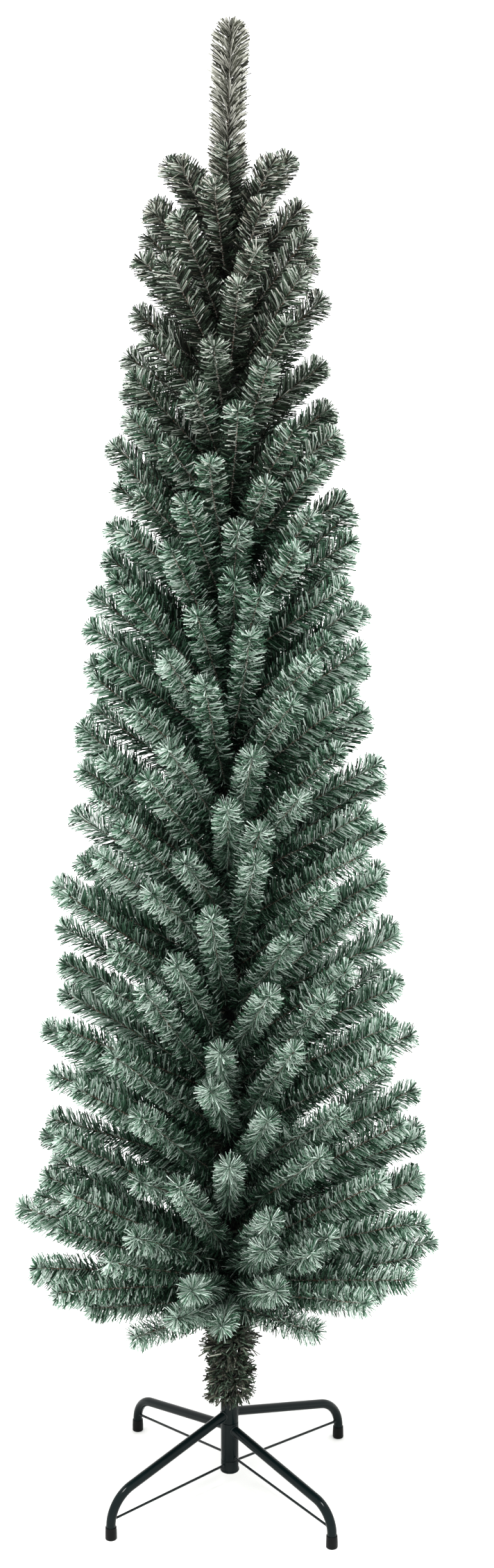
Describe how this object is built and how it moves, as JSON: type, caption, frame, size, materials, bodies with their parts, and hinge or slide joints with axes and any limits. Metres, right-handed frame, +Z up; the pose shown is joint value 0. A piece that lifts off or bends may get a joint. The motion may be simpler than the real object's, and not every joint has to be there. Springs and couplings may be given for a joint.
{
  "type": "artificial christmas tree",
  "caption": "Slim artificial christmas tree with frosted bottle-brush branches in tiers round a steel pole, standing on a folding stand of bent steel legs.",
  "frame": {"origin": "on the floor under the pole's axis, in the middle of the four feet", "axes": "+Z up along the pole, +X to the right of the front view, +Y away from it"},
  "size_m": [0.5406, 0.5274, 1.7999],
  "materials": {
    "frosted_needles": "frosted matt film",
    "garland_needles": "matt film",
    "pole_steel": "satin paint",
    "stand_enamel": "gloss enamel",
    "foot_plastic": "moulded, satin"
  },
  "bodies": {
    "root": {"pole": "pole_steel", "stand_lower_collar": "stand_enamel", "stand_turning_sleeve": "stand_enamel", "stand_upper_collar": "stand_enamel", "pole_garland": "garland_needles", "leader": "frosted_needles", "leg_front_right": "stand_enamel", "strut_front_right": "stand_enamel", "foot_cap_front_right": "foot_plastic", "leg_back_right": "stand_enamel", "strut_back_right": "stand_enamel", "foot_cap_back_right": "foot_plastic", "leg_back_left": "stand_enamel", "strut_back_left": "stand_enamel", "foot_cap_back_left": "foot_plastic", "leg_front_left": "stand_enamel", "strut_front_left": "stand_enamel", "foot_cap_front_left": "foot_plastic", "tier_01": "frosted_needles", "tier_02": "frosted_needles", "tier_03": "frosted_needles", "tier_04": "frosted_needles", "tier_05": "frosted_needles", "tier_06": "frosted_needles", "tier_07": "frosted_needles", "tier_08": "frosted_needles", "tier_09": "frosted_needles", "tier_10": "frosted_needles", "tier_11": "frosted_needles", "tier_12": "frosted_needles", "tier_13": "frosted_needles", "tier_14": "frosted_needles", "tier_15": "frosted_needles", "tier_16": "frosted_needles", "tier_17": "frosted_needles", "tier_18": "frosted_needles", "tier_19": "frosted_needles", "tier_20": "frosted_needles", "tier_21": "frosted_needles", "tier_22": "frosted_needles", "tier_23": "frosted_needles", "tier_24": "frosted_needles", "tier_25": "frosted_needles", "tier_26": "frosted_needles", "tier_27": "frosted_needles", "tier_28": "frosted_needles"}
  },
  "joints": []
}
